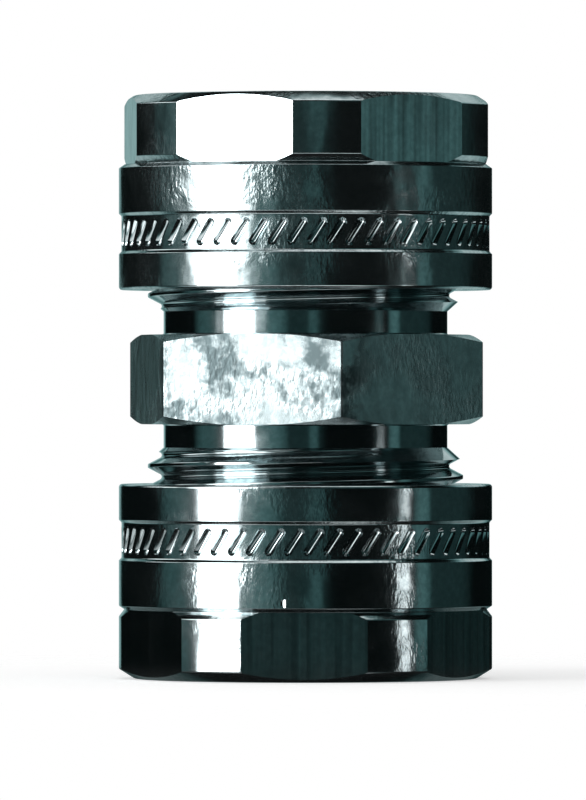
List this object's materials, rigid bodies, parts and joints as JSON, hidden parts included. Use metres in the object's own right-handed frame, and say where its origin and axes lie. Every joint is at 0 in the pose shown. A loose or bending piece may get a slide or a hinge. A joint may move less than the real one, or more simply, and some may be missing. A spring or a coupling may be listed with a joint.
{
  "type": "straight pipe coupling with two union nuts",
  "caption": "Straight compression coupling for pipe: hexagonal centre body with a threaded socket at each end, closed by knurled union nuts over soft seals and split clamp rings.",
  "frame": {"origin": "centre of the lower nut's end face, on the surface that the coupling stands on", "axes": "+Z along the pipe axis, from the lower nut to the upper one; one flat of the centre hexagon faces -Y"},
  "size_m": [0.0314, 0.0312, 0.0488],
  "materials": {
    "plated_brass": "turned and milled brass, bright plated, dark with a teal cast, slightly pitted and stained",
    "washer_steel": "stamped steel, dull",
    "bare_brass": "turned brass, unplated",
    "seal_rubber": "moulded black rubber, matt"
  },
  "bodies": {
    "body": {"centre_body": "plated_brass", "upper_seal_ring": "seal_rubber", "upper_pressure_ring": "bare_brass", "upper_clamp_ring": "bare_brass", "lower_seal_ring": "seal_rubber"},
    "upper_washer": {"upper_slip_washer": "washer_steel"},
    "upper_nut": {"upper_nut": "plated_brass"},
    "lower_rings": {"lower_slip_washer": "washer_steel", "lower_clamp_ring": "bare_brass", "lower_pressure_ring": "bare_brass"},
    "lower_nut": {"lower_nut": "plated_brass"}
  },
  "joints": [
    {"name": "upper_nut_travel", "type": "slide", "parent": "body", "child": "upper_washer", "axis": [0, 0, 1], "range_m": [-0.00028, 0.00546]},
    {"name": "upper_nut_turn", "type": "hinge", "parent": "upper_washer", "child": "upper_nut", "pos_m": [0, 0, 0.04885], "axis": [0, 0, 1], "range_deg": [-54, 1080]},
    {"name": "lower_nut_travel", "type": "slide", "parent": "body", "child": "lower_rings", "axis": [0, 0, -1], "range_m": [-0.00137, 0.0041]},
    {"name": "lower_nut_turn", "type": "hinge", "parent": "lower_rings", "child": "lower_nut", "pos_m": [0, 0, 0], "axis": [0, 0, -1], "range_deg": [-270, 810]}
  ],
  "couplings": [
    {"joint": "upper_nut_travel", "follows": "upper_nut_turn", "m_per_rad": 0.00028871},
    {"joint": "lower_nut_travel", "follows": "lower_nut_turn", "m_per_rad": 0.00028871}
  ]
}
